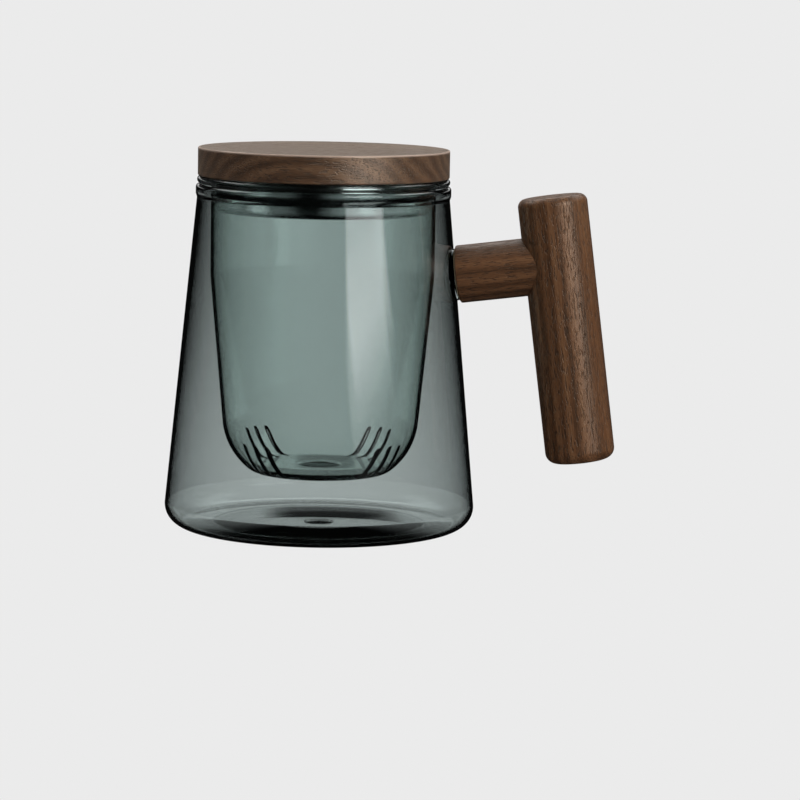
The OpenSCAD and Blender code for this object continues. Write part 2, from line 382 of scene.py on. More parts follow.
@dataclass(frozen=True)
class Walnut(Finish):
    """Oiled walnut: growth rings, long streaks and short dark pores along the grain.

    Attributes:
        turn: Euler angles that turn the grain onto the pattern's Z axis.
        heart: place of the growth rings' centre line, across the grain.
        dark: colour of the late wood and of the pores.
        mid: colour of most of the wood.
        light: colour of the pale streaks.
        ring: width of a growth ring.
        bands: share of the growth rings in the wood's tone.
        pore: length of a pore.
        sheen: strength of the oil's gleam.
        fuzz: strength of the soft gleam where the surface turns away.
        warm: colour of both gleams.
        roughness: mean roughness of the oiled surface.
        relief: depth of the pores.
        edge: the painted highlight along the top edge, if the piece has one.
        sway_cells: cells per metre of the noise that sways the rings.
        sway: how many rings it sways them by.
        streak_cells: cells per metre of the streaks.
        fibre_cells: cells per metre of the fibres, across the grain.
        pore_cells: cells per metre of the pores, across the grain.
        pore_rim: noise at which a pore begins, and at which it is whole.
        mid_tone: tones at which the dark wood ends and the middle wood begins.
        light_tone: tones at which the pale streaks begin, and at which they are whole.
    """
    turn: tuple[float, float, float]
    heart: Span
    dark: Colour = (0.028, 0.012, 0.005)
    mid: Colour = (0.080, 0.037, 0.016)
    light: Colour = (0.150, 0.078, 0.038)
    ring: float = 0.0042
    bands: float = 0.3
    pore: float = 0.0025
    sheen: float = 0.5
    fuzz: float = 0.10
    warm: Colour = (1.0, 0.84, 0.68)
    roughness: float = 0.38
    relief: float = 0.00012
    edge: PaintedEdgeHighlight | None = None
    sway_cells: ClassVar[Cells] = (70, 70, 10)
    sway: ClassVar[float] = 1.4
    streak_cells: ClassVar[Cells] = (1800, 1800, 50)
    fibre_cells: ClassVar[float] = 3000
    pore_cells: ClassVar[float] = 2600
    pore_rim: ClassVar[Span] = (0.46, 0.34)
    mid_tone: ClassVar[Span] = (0.35, 0.85)
    light_tone: ClassVar[Span] = (0.75, 1.15)

    def paint(self, graph: Graph) -> None:
        """Adds wood whose tone is the weighted sum of its rings, streaks and fibres.

        The rings are a wave of the distance from the heart, counted in rings and swayed by a
        slow noise. The fibres and pores are noise that is long along the grain.

        Args:
            graph: the material's empty graph.
        """
        grain = graph.place(self.turn)
        x, y, _ = graph.axes(grain)
        reach = distance(x - self.heart[0], y - self.heart[1])
        rings = (reach / self.ring + graph.noise(grain, self.sway_cells, 2.0) * self.sway).wave()
        streaks = graph.noise(grain, self.streak_cells, 4.0, 0.6)
        along = 1 / self.pore
        fibres = graph.noise(grain, (self.fibre_cells, self.fibre_cells, 1.2 * along), 2.0, 0.6)
        cells = graph.noise(grain, (self.pore_cells, self.pore_cells, along), 1.0, 0.4, 0.2)
        pores = cells.ramp(*self.pore_rim)
        tone = rings * self.bands + streaks * 0.7 + fibres * 0.5
        colour = graph.blend(tone.ramp(*self.mid_tone), self.dark, self.mid)
        colour = graph.blend(tone.ramp(*self.light_tone), colour, self.light)
        colour = graph.blend(pores * 0.75, colour, self.dark)
        # A painted highlight: paler colour on the rounded top edge, for the edge's gleam.
        if self.edge is not None:
            colour = graph.blend(self.edge.highlight_share(graph), colour, self.edge.colour)
        rough = (1 - fibres) * 0.16 + pores * 0.2 + (self.roughness - 0.08)
        height = fibres * 0.35 + streaks * 0.3 - pores
        wood = graph.node("ShaderNodeBsdfPrincipled", {}, {
            "Base Color": colour, "Roughness": rough, "Specular IOR Level": self.sheen,
            "Specular Tint": self.warm, "Sheen Weight": self.fuzz, "Sheen Roughness": 0.5,
            "Sheen Tint": self.warm, "Normal": graph.bump(height, self.relief, 0.7)})
        # Rays that a mirror deep in the glass sends to the wood go on to the surround.
        passing = graph.rays(Bounce.THROUGH, DEEP_IN_GLASS) * graph.rays(Bounce.MIRRORED)
        graph.output(graph.node("ShaderNodeMixShader", {}, {
            0: passing, 1: wood.outputs[0],
            2: graph.node("ShaderNodeBsdfTransparent").outputs[0]}))


@dataclass(frozen=True)
class DrawnSteel(Finish):
    """Stainless sheet with the fine turned lines of its polish.

    Attributes:
        colour: colour of the bright steel.
        shade: colour of its duller clouds.
        roughness: mean roughness.
        relief: depth of the lines.
        line_cells: cells per metre of the lines.
        cloud_cells: cells per metre of the clouds.
    """
    colour: Colour = (0.60, 0.61, 0.61)
    shade: Colour = (0.540, 0.549, 0.549)
    roughness: float = 0.14
    relief: float = 0.00001
    line_cells: ClassVar[Cells] = (60, 60, 9000)
    cloud_cells: ClassVar[Cells] = (120, 120, 120)

    def paint(self, graph: Graph) -> None:
        """Adds clouded steel whose lines are noise that is short up and down.

        Args:
            graph: the material's empty graph.
        """
        lines = graph.noise(graph.place(), self.line_cells, 3.0, 0.6)
        cloud = graph.noise(graph.place(), self.cloud_cells, 2.0)
        graph.output(graph.node("ShaderNodeBsdfPrincipled", {}, {
            "Base Color": graph.blend(cloud, self.shade, self.colour), "Metallic": 1.0,
            "Roughness": lines * 0.1 + (self.roughness - 0.05),
            "Normal": graph.bump(lines, self.relief, 0.35)}))


@dataclass(frozen=True)
class SawnGlass(Finish):
    """The dull, gritty faces of a saw cut in smoked glass, painted near black as painted shade.

    Attributes:
        colour: colour of the grit's tops.
        shade: colour between them.
        cells: cells per metre of the grit.
    """
    # Near-black colours: painted shade for the dark that the cuts show through the glass.
    colour: Colour = (0.004, 0.006, 0.006)
    shade: Colour = (0.001, 0.002, 0.002)
    cells: ClassVar[Cells] = (4000, 4000, 4000)

    def paint(self, graph: Graph) -> None:
        """Adds a gritty, ground surface.

        Args:
            graph: the material's empty graph.
        """
        grit = graph.noise(graph.place(), self.cells, 2.0)
        graph.output(graph.node("ShaderNodeBsdfPrincipled", {}, {
            "Base Color": graph.blend(grit, self.shade, self.colour),
            "Roughness": grit * 0.2 + 0.4, "Specular IOR Level": 0.2}))


@dataclass(frozen=True)
class Silicone(Finish):
    """Pale silicone with a faint mottle.

    Attributes:
        colour: colour of the mottle's pale spots.
        shade: colour between them.
        relief: depth of the mottle.
        cells: cells per metre of the mottle.
    """
    colour: Colour = (0.42, 0.34, 0.20)
    shade: Colour = (0.30, 0.24, 0.14)
    relief: float = 0.00002
    cells: ClassVar[Cells] = (900, 900, 900)

    def paint(self, graph: Graph) -> None:
        """Adds mottled rubber.

        Args:
            graph: the material's empty graph.
        """
        mottle = graph.noise(graph.place(), self.cells, 3.0)
        graph.output(graph.node("ShaderNodeBsdfPrincipled", {}, {
            "Base Color": graph.blend(mottle, self.shade, self.colour),
            "Roughness": mottle * 0.15 + 0.4, "Normal": graph.bump(mottle, self.relief, 0.4)}))


# --------------------------------------------------------------------------------- surfaces


# Edges that turn by more than this are sharp, on turned pieces and on cut ones.
TURNED_CREASE = math.radians(40)
CUT_CREASE = math.radians(32)


class Outline:
    """A profile in the half-plane of radius and height, drawn as stretches and arcs.

    A skin's outside lies to the right of the direction in which its outline is drawn.

    Attributes:
        points: the points so far, as rows of radius and height.
        guard: how near to its ends a straight stretch has its next points.
        pitch: how far apart its other points are at most.
        touch: how near to each other two points are one.
    """
    guard: ClassVar[float] = 0.00025
    pitch: ClassVar[float] = 0.002
    touch: ClassVar[float] = 1e-7

    def __init__(self, radius: float, height: float) -> None:
        """Starts the outline at a point."""
        self.points = np.array([[radius, height]])

    def through(self, points: np.ndarray) -> "Outline":
        """Adds points after the last one.

        Args:
            points: rows of radius and height. The first is left out where it is the last one.

        Returns:
            The outline.
        """
        fresh = np.linalg.norm(points[0] - self.points[-1]) > self.touch
        self.points = np.vstack((self.points, points if fresh else points[1:]))
        return self

    def line(self, radius: float, height: float) -> "Outline":
        """Adds a straight stretch to a point.

        It has a point every pitch, and one at guard from either end, which keeps the shading
        of a flat stretch flat beside a blend.

        Args:
            radius: the point's radius.
            height: the point's height.

        Returns:
            The outline.
        """
        start = self.points[-1]
        stop = np.array([radius, height])
        length = float(np.linalg.norm(stop - start))
        steps = max(1, math.ceil(length / self.pitch))
        places = np.arange(1, steps + 1) / steps
        if length > 3 * self.guard:
            near = self.guard / length
            inner = places[(places > 1.5 * near) & (places < 1 - 1.5 * near)]
            places = np.concatenate(([near], inner, [1 - near, 1.0]))
        return self.through(start + places[:, None] * (stop - start))

    def arc(self, centre: Span, radius: float, start: float, stop: float,
            steps: int = 16) -> "Outline":
        """Adds an arc, whose points are its centre + its radius * (cos a, sin a).

        Args:
            centre: its centre.
            radius: its radius.
            start: the angle a of its first point, in degrees.
            stop: the angle of its last point.
            steps: how many chords it has.

        Returns:
            The outline.
        """
        angles = np.radians(np.linspace(start, stop, steps + 1))
        directions = np.column_stack((np.cos(angles), np.sin(angles)))
        return self.through(np.array(centre) + radius * directions)

    def swell(self, inner: float, outer: float, height: float, rise: float, outwards: bool,
              steps: int = 24) -> "Outline":
        """Adds a smooth slope that falls outwards.

        At share s of the way out, the height is height + rise * (1 + cos(pi * s)) / 2.

        Args:
            inner: radius at which it is highest.
            outer: radius at which it ends.
            height: its height there.
            rise: how much higher it is at the inner radius.
            outwards: whether it is drawn outwards, or else inwards.
            steps: how many chords it has.

        Returns:
            The outline.
        """
        share = np.linspace(0, 1, steps + 1)
        points = np.column_stack((inner + share * (outer - inner),
                                  height + rise * (1 + np.cos(np.pi * share)) / 2))
        return self.through(points if outwards else points[::-1])


def make_object(name: str, vertices: np.ndarray, faces: list[list[int]]) -> bpy.types.Object:
    """Makes a smooth-shaded mesh object at the origin.

    Args:
        name: the object's name.
        vertices: its points, as rows of x, y and z.
        faces: each face's points, anticlockwise seen from outside.

    Returns:
        The new object.
    """
    mesh = bpy.data.meshes.new(name)
    mesh.from_pydata(vertices.tolist(), [], faces)
    mesh.polygons.foreach_set("use_smooth", np.ones(len(faces), dtype=bool))
    mesh.update()
    thing = bpy.data.objects.new(name, mesh)
    bpy.context.scene.collection.objects.link(thing)
    return thing


def skin(name: str, rings: np.ndarray, start: np.ndarray, stop: np.ndarray) -> bpy.types.Object:
    """A closed skin through rings of points, shut by a fan to a pole at either end.

    Args:
        name: the object's name.
        rings: points of shape (rings, segments, 3), anticlockwise seen from the last pole.
        start: the pole before the first ring.
        stop: the pole after the last ring.

    Returns:
        The new object. Its faces are quads between neighbouring rings and triangles at the
        poles: face (i, j) joins points (i, j), (i, j+1), (i+1, j+1) and (i+1, j).
    """
    count, segments = rings.shape[:2]
    index = np.arange(count * segments).reshape(count, segments)
    following = np.roll(index, -1, axis=1)
    quads = np.stack((index[:-1], following[:-1], following[1:], index[1:]), axis=-1)
    first = np.full(segments, count * segments)
    foot = np.column_stack((first, following[0], index[0]))
    head = np.column_stack((index[-1], following[-1], first + 1))
    vertices = np.vstack((rings.reshape(-1, 3), start, stop))
    faces = quads.reshape(-1, 4).tolist() + foot.tolist() + head.tolist()
    return make_object(name, vertices, faces)


def lathe(name: str, outline: Outline, segments: int = 256,
          place: Matrix | None = None) -> bpy.types.Object:
    """Makes a closed turned body.

    Point (i, j) is (r_i cos a_j, r_i sin a_j, z_i), where (r_i, z_i) runs along the outline
    and a_j goes once round.

    Args:
        name: the object's name.
        outline: the profile, whose two ends are on the axis.
        segments: how many steps go round.
        place: where the turned body is then put.

    Returns:
        The new object.
    """
    r, z = outline.points[1:-1].T
    angles = np.linspace(0, math.tau, segments, endpoint=False)
    rings = np.stack((np.outer(r, np.cos(angles)), np.outer(r, np.sin(angles)),
                      np.repeat(z[:, None], segments, axis=1)), axis=-1)
    start, stop = (np.array([0, 0, outline.points[end][1]]) for end in (0, -1))
    body = skin(name, rings, start, stop)
    if place is not None:
        body.data.transform(place)
    return body


class Cut(Enum):
    """How a tool body changes the body that it meets."""
    ADD = "UNION"
    REMOVE = "DIFFERENCE"


def combine(body: bpy.types.Object, tool: bpy.types.Object, cut: Cut) -> None:
    """Adds the tool to the body, or cuts it out of it, and deletes the tool.

    Args:
        body: the body, whose mesh is changed.
        tool: the tool.
        cut: what the tool does.
    """
    step = body.modifiers.new("combine", "BOOLEAN")
    step.operation = cut.value
    step.solver = "EXACT"
    step.material_mode = "TRANSFER"
    step.object = tool
    bpy.context.view_layer.update()
    whole = body.evaluated_get(bpy.context.evaluated_depsgraph_get())
    result = bpy.data.meshes.new_from_object(whole)
    body.modifiers.clear()
    spent = (body.data, tool.data)
    body.data = result
    bpy.data.objects.remove(tool)
    for mesh in spent:
        bpy.data.meshes.remove(mesh)
    result.polygons.foreach_set("use_smooth", np.ones(len(result.polygons), dtype=bool))
    result.set_sharp_from_angle(angle=CUT_CREASE)


def dress(piece: bpy.types.Object, material: bpy.types.Material, body: str,
          node: str | None = None) -> None:
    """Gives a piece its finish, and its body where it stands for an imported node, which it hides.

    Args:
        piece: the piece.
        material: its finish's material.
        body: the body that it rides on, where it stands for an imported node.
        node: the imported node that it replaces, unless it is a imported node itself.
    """
    if piece.data.materials:
        piece.data.materials[0] = material
    else:
        piece.data.materials.append(material)
    if node:
        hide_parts(node)
        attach(piece, body)
    LOG.info("%s: %d faces, on body %s, finish %s", piece.name, len(piece.data.polygons), body,
             material.name)


def heel_centre(base: float, floor: float, lean: float, radius: float) -> Span:
    """Centre of a circle that touches the level floor and a wall leaning outwards by lean."""
    return base + radius * math.tan(lean) - radius / math.cos(lean), floor + radius


@dataclass(frozen=True)
class Heel:
    """A heel of two arcs: a tight corner at a level floor, and a wider arc up to a leaning wall.

    Attributes:
        base: radius at which the wall's line meets the floor's plane.
        floor: height of the floor.
        lean: how far the wall leans outwards, as an angle.
        flat: radius at which the floor ends.
        corner: radius of the corner.
        arc: radius of the wider arc.
    """
    base: float
    floor: float
    lean: float
    flat: float
    corner: float
    arc: float

    def outwards(self) -> np.ndarray:
        """Unit direction square to the wall's line."""
        return np.array([math.cos(self.lean), -math.sin(self.lean)])

    def corner_centre(self) -> np.ndarray:
        """Centre of the corner."""
        return np.array([self.flat, self.floor + self.corner])

    def arc_centre(self) -> np.ndarray:
        """Works out the wider arc's centre.

        Returns:
            The centre of a circle that touches the wall's line and holds the corner's circle.
        """
        outwards = self.outwards()
        upwards = np.array([-outwards[1], outwards[0]])
        reach = (np.array([self.base, self.floor]) - self.corner_centre()) @ outwards
        climb = math.sqrt((self.arc - self.corner) ** 2 - (self.arc - reach) ** 2)
        return self.corner_centre() + (reach - self.arc) * outwards + climb * upwards

    def draw(self, path: Outline, upwards: bool) -> None:
        """Adds the heel to an outline.

        Args:
            path: the outline.
            upwards: whether it is drawn from the floor up, or else from the wall down.
        """
        join = self.corner_centre() - self.arc_centre()
        turn = math.degrees(math.atan2(join[1], join[0]))
        arcs = [(self.corner_centre(), self.corner, -90, turn),
                (self.arc_centre(), self.arc, turn, -math.degrees(self.lean))]
        if not upwards:
            path.line(*(self.arc_centre() + self.arc * self.outwards()))
            arcs = [(centre, radius, stop, start) for centre, radius, start, stop in arcs[::-1]]
        for centre, radius, start, stop in arcs:
            path.arc(tuple(centre), radius, start, stop, steps=32)


# ----------------------------------------------------------------------------- sub-assemblies


@dataclass
class Handle:
    """Wooden arm and grip, their dowel and the pad against the mug's boss."""
    axis_height: float = 0.0764
    tilt: float = math.radians(7.65)
    wall_reach: float = 0.04281
    boss_height: float = 0.001
    boss_root: float = 0.00135
    boss_radius: float = 0.0082
    boss_blend: float = 0.00025
    stud_radius: float = 0.0045
    stud_length: float = 0.010
    pad: float = 0.0003
    arm_radius: float = 0.00915
    arm_length: float = 0.0212
    grip_radius: float = 0.011
    grip_up: float = 0.0215
    grip_down: float = 0.063
    top_blend: float = 0.0026
    end_blend: float = 0.0034
    arm_blend: float = 0.0005
    seat: float = 0.0001
    segments: ClassVar[int] = 192
    rows: ClassVar[int] = 12

    @property
    def boss_reach(self) -> float:
        """Distance along the arm from the mug's axis to the boss's face."""
        return self.wall_reach + self.boss_height

    @property
    def arm_reach(self) -> float:
        """Distance along the arm from the mug's axis to the arm's end at the mug."""
        return self.boss_reach + self.pad

    @property
    def grip_reach(self) -> float:
        """Distance along the arm from the mug's axis to the grip's axis."""
        return self.arm_reach + self.arm_length + self.grip_radius

    def along_arm(self, reach: float) -> Matrix:
        """Works out the arm's frame, whose +Z runs out along the arm and +X down the grip.

        Args:
            reach: how far along the arm it is from the mug's axis.

        Returns:
            What moves a thing from the origin to the frame.
        """
        axis = Matrix.Translation((0, 0, self.axis_height))
        turn = Matrix.Rotation(math.pi / 2 - self.tilt, 4, "Y")
        return axis @ turn @ Matrix.Translation((0, 0, reach))

    def boss(self) -> bpy.types.Object:
        """Turns the glass boss and its stud, to be fused to the mug.

        Returns:
            A body from boss_root inside the wall's line out to the stud's end.
        """
        root = -self.boss_root - self.boss_height
        blend = self.boss_blend
        outline = Outline(0, root).line(self.boss_radius, root)
        outline.line(self.boss_radius, -blend)
        outline.arc((self.boss_radius - blend, -blend), blend, 0, 90, steps=6)
        outline.line(self.stud_radius, 0).line(self.stud_radius, self.stud_length)
        outline.line(0, self.stud_length)
        return lathe("boss", outline, segments=96, place=self.along_arm(self.boss_reach))

    def arm(self) -> bpy.types.Object:
        """Makes the arm, coped to the grip.

        Point (i, j) is (q_i cos a_j, q_i sin a_j, s). Up to the side's end, s follows the
        outline. The side and the far end stop at the saddle, whose height at a point is
        the grip's reach less the square root of grip radius squared less the point's
        distance across the grip squared.

        Returns:
            The arm.
        """
        outline = Outline(0, 0).line(self.arm_radius - self.arm_blend, 0)
        outline.arc((self.arm_radius - self.arm_blend, self.arm_blend), self.arm_blend, -90, 0,
                    steps=8)
        near = outline.points[1:]
        angles = np.linspace(0, math.tau, self.segments, endpoint=False)
        saddle_radius = self.grip_radius + self.seat
        span = self.grip_reach - self.arm_reach

        def saddle(q: np.ndarray) -> np.ndarray:
            """Height of the coped end at radius q, for every angle."""
            return span - np.sqrt(saddle_radius ** 2 - (q * np.sin(angles)) ** 2)

        share = np.linspace(0, 1, self.rows + 1)
        cap = self.arm_radius * share[1:][::-1]
        rise = share[1:-1]
        q = np.concatenate((near[:, 0], np.full(len(rise), self.arm_radius), cap))[:, None]
        side_top = saddle(np.full((1, 1), self.arm_radius))
        side = self.arm_blend + rise[:, None] * (side_top - self.arm_blend)
        s = np.vstack((np.repeat(near[:, 1:], len(angles), axis=1), side, saddle(cap[:, None])))
        rings = np.stack((q * np.cos(angles), q * np.sin(angles), s), axis=-1)
        stop = np.array([0, 0, span - saddle_radius])
        arm = skin("arm_wood", rings, np.zeros(3), stop)
        arm.data.transform(self.along_arm(self.arm_reach))
        arm.data.set_sharp_from_angle(angle=TURNED_CREASE)
        return arm

    def grip(self) -> bpy.types.Object:
        """Turns the grip.

        Returns:
            The grip, with its two rounded ends.
        """
        length = self.grip_down + self.grip_up
        outline = Outline(0, 0).line(self.grip_radius - self.end_blend, 0)
        outline.arc((self.grip_radius - self.end_blend, self.end_blend), self.end_blend, -90, 0)
        outline.line(self.grip_radius, length - self.top_blend)
        outline.arc((self.grip_radius - self.top_blend, length - self.top_blend),
                    self.top_blend, 0, 90)
        outline.line(0, length)
        upright = Matrix.Rotation(-math.pi / 2, 4, "Y")
        foot = Matrix.Translation((0, 0, -self.grip_down))
        place = self.along_arm(self.grip_reach) @ upright @ foot
        return lathe("grip_wood", outline, self.segments, place)

    def build(self) -> None:
        """Builds the arm and the grip, and dresses them with the dowel and the pad."""
        along_grip = Walnut("walnut_grip_grain", (0.0, self.tilt, 0.0), (-0.012, 0.034),
                            mid=(0.112, 0.047, 0.019), light=(0.180, 0.091, 0.042), fuzz=0.02)
        along_arm = Walnut("walnut_arm_grain", (0.0, self.tilt - math.pi / 2, 0.0), (0.014, 0.052),
                           mid=(0.102, 0.044, 0.019), light=(0.165, 0.077, 0.034), fuzz=0.02)
        arm, grip = self.arm(), self.grip()
        dress(arm, along_arm.material(), "mug", "handle_arm")
        dress(grip, along_grip.material(), "mug", "handle_grip")
        plain = Walnut("dowel_grain", (0.0, self.tilt - math.pi / 2, 0.0), (0.02, 0.03),
                       (0.30, 0.20, 0.11), (0.42, 0.29, 0.16), (0.50, 0.37, 0.22))
        dress(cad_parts["handle_dowel"], plain.material(), "mug")
        dress(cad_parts["handle_pad"], Silicone("silicone").material(), "mug")


@dataclass
class Mug:
    """The mug's one glass body: foot, leaning wall, lip, and the boss for the handle."""
    handle: Handle
    lip_top: float = field(default_factory=lambda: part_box("mug_body")[1].z)
    base: float = 0.0503
    neck: float = 0.0402
    mouth: float = 0.0383
    wall: float = 0.0016
    wall_low: float = 0.0009
    floor: float = 0.0011
    heel: float = 0.0067
    inner_heel: float = 0.0059
    foot_ring: float = 0.009
    ring_edge: float = 0.0003
    ring_flat: float = 0.0015
    foot_rise: float = 0.00016
    pip: float = 0.005
    pip_rise: float = 0.0003
    lip_height: float = 0.0042
    lip_bulge: float = 0.0004
    lip_blend: float = 0.0012

    def outline(self) -> Outline:
        """Draws the closed profile.

        Returns:
            The outline, from the foot's middle out, up the wall, over the lip, down and in.
        """
        neck_z = self.lip_top - self.lip_height
        lip = self.neck + self.lip_bulge
        blend = min(self.lip_blend, (lip - self.mouth) / 2)
        lean = math.atan((self.neck - self.base) / neck_z)
        inner_foot = self.base - self.wall_low / math.cos(lean)
        inner_lean = math.atan((self.neck - self.wall - inner_foot) / neck_z)
        inner_base = inner_foot + self.floor * math.tan(inner_lean)
        outer_foot = self.base + self.foot_rise * math.tan(lean)
        centre = heel_centre(outer_foot, self.foot_rise, lean, self.heel)
        inner_centre = heel_centre(inner_base, self.floor, inner_lean, self.inner_heel)
        ring = centre[0] - self.foot_ring
        path = Outline(0, self.ring_edge).line(ring, self.ring_edge)
        path.arc((ring + self.ring_edge, self.ring_edge), self.ring_edge, -180, -90,
                 steps=8)
        tilt = math.atan(self.foot_rise / (self.foot_ring - self.ring_flat))
        path.line(ring + self.ring_flat, 0)
        path.arc(centre, self.heel, -90 + math.degrees(tilt), -math.degrees(lean),
                 steps=40)
        path.line(self.neck, neck_z).line(lip, neck_z + blend)
        path.arc((lip - blend, self.lip_top - blend), blend, 0, 90)
        path.arc((self.mouth + blend, self.lip_top - blend), blend, 90, 180)
        path.line(self.mouth, neck_z + blend).line(self.neck - self.wall, neck_z)
        path.line(inner_centre[0] + self.inner_heel * math.cos(inner_lean),
                  inner_centre[1] - self.inner_heel * math.sin(inner_lean))
        path.arc(inner_centre, self.inner_heel, -math.degrees(inner_lean), -90, steps=40)
        path.line(self.pip, self.floor)
        return path.swell(0, self.pip, self.floor, self.pip_rise, False)

    def build(self) -> None:
        """Builds and dresses the glass."""
        finish = SmokedGlass("smoked_glass_wall", tint=(0.68, 0.726, 0.718),
                             edge_low=(0.50, 0.51, 0.52), edge_high=(0.02, 0.03, 0.03),
                             foot=0.010, top=0.088, clear=0.008, absorption=40.0,
                             depth_tint=(0.18, 0.25, 0.25))
        body = lathe("mug_glass", self.outline(), segments=320)
        body.data.materials.append(finish.material())
        combine(body, self.handle.boss(), Cut.ADD)
        dress(body, body.data.materials[0], "mug", "mug_body")


@dataclass
class Infuser:
    """The hanging glass infuser, with groups of saw cuts round its heel."""
    top: float = field(default_factory=lambda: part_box("infuser_cup")[1].z)
    bottom: float = field(default_factory=lambda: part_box("infuser_cup")[0].z)
    rim: float = field(default_factory=lambda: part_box("infuser_cup")[1].x)
    flange: float = 0.0023
    straight: float = 0.029
    radius: float = 0.0357
    base: float = 0.0298
    wall: float = 0.0011
    floor: float = 0.0022
    flat: float = 0.019
    corner: float = 0.007
    heel: float = 0.022
    inner_flat: float = 0.021
    inner_corner: float = 0.0035
    flange_blend: float = 0.0012
    lip_blend: float = 0.0004
    mound: float = 0.0077
    mound_rise: float = 0.0008
    groups: int = 4
    cuts: int = 3
    cut_width: float = 0.0012
    cut_pitch: float = 0.0048
    cut_depth: float = 0.0033
    blade: float = 0.030
    dip: float = math.radians(40)
    first_group: float = math.radians(56)

    def lean(self) -> float:
        """How far the tapered wall leans outwards, as an angle."""
        under = self.top - self.flange
        return math.atan((self.radius - self.base) / (under - self.straight - self.bottom))

    def outer_heel(self) -> Heel:
        """The heel of the outer skin."""
        return Heel(self.base, self.bottom, self.lean(), self.flat, self.corner, self.heel)

    def inner_heel(self) -> Heel:
        """Works out the heel of the inner skin.

        Returns:
            A heel one wall inside the outer one, on the inner floor.
        """
        lean = self.lean()
        base = self.base + self.floor * math.tan(lean) - self.wall / math.cos(lean)
        return Heel(base, self.bottom + self.floor, lean, self.inner_flat, self.inner_corner,
                    self.heel - self.wall)

    def outline(self) -> Outline:
        """Draws the closed profile.

        Returns:
            The outline, from under the floor out, up, over the flange and back in.
        """
        under = self.top - self.flange
        taper = under - self.straight
        bore = self.radius - self.wall
        path = Outline(0, self.bottom).line(self.flat, self.bottom)
        self.outer_heel().draw(path, True)
        path.line(self.radius, taper).line(self.radius, under - self.flange_blend)
        path.arc((self.radius + self.flange_blend, under - self.flange_blend),
                 self.flange_blend, 180, 90)
        path.arc((self.rim - self.flange / 2, under + self.flange / 2), self.flange / 2, -90, 90)
        path.line(bore + self.lip_blend, self.top)
        path.arc((bore + self.lip_blend, self.top - self.lip_blend), self.lip_blend, 90, 180,
                 steps=8)
        path.line(bore, taper)
        self.inner_heel().draw(path, False)
        inner_floor = self.bottom + self.floor
        path.line(self.mound, inner_floor)
        return path.swell(0, self.mound, inner_floor, self.mound_rise, False)

    def saw(self) -> bpy.types.Object:
        """Makes all the blades, placed where they cut the heel.

        A blade's rim stays cut_depth inside the outer corner's circle at the dip's angle.

        Returns:
            The blades as one body of discs.
        """
        reach = self.corner - self.cut_depth + self.blade
        x, z = self.outer_heel().corner_centre() + reach * np.array([
            math.cos(self.dip), -math.sin(self.dip)])
        half = self.cut_width / 2
        rim = np.array([[self.blade, -half], [self.blade, half], [0, half]])
        outline = Outline(0, -half).through(rim)
        blades = []
        for group in range(self.groups):
            turn = Matrix.Rotation(self.first_group + group * math.tau / self.groups, 4, "Z")
            for cut in range(self.cuts):
                y = (cut - (self.cuts - 1) / 2) * self.cut_pitch
                place = turn @ Matrix.Translation((x, y, z)) @ Matrix.Rotation(math.pi / 2, 4, "X")
                blades.append(lathe("blade", outline, segments=192, place=place))
        with bpy.context.temp_override(active_object=blades[0], selected_editable_objects=blades):
            bpy.ops.object.join()
        return blades[0]

    def build(self) -> None:
        """Builds the cup, saws its slots and dresses it."""
        finish = SmokedGlass("smoked_glass_infuser", tint=(0.925, 0.98, 0.97),
                             edge_low=(0.80, 0.84, 0.82), edge_high=(0.80, 0.84, 0.82),
                             foot=0.02, top=0.10, clear=0.0, absorption=35.0,
                             depth_tint=(0.18, 0.27, 0.25))
        cup = lathe("infuser_glass", self.outline(), segments=288)
        cup.data.materials.append(finish.material())
        saw = self.saw()
        # The saw cuts' faces are painted near black, as painted shade.
        saw.data.materials.append(SawnGlass("sawn_glass").material())
        combine(cup, saw, Cut.REMOVE)
        dress(cup, cup.data.materials[0], "infuser", "infuser_cup")


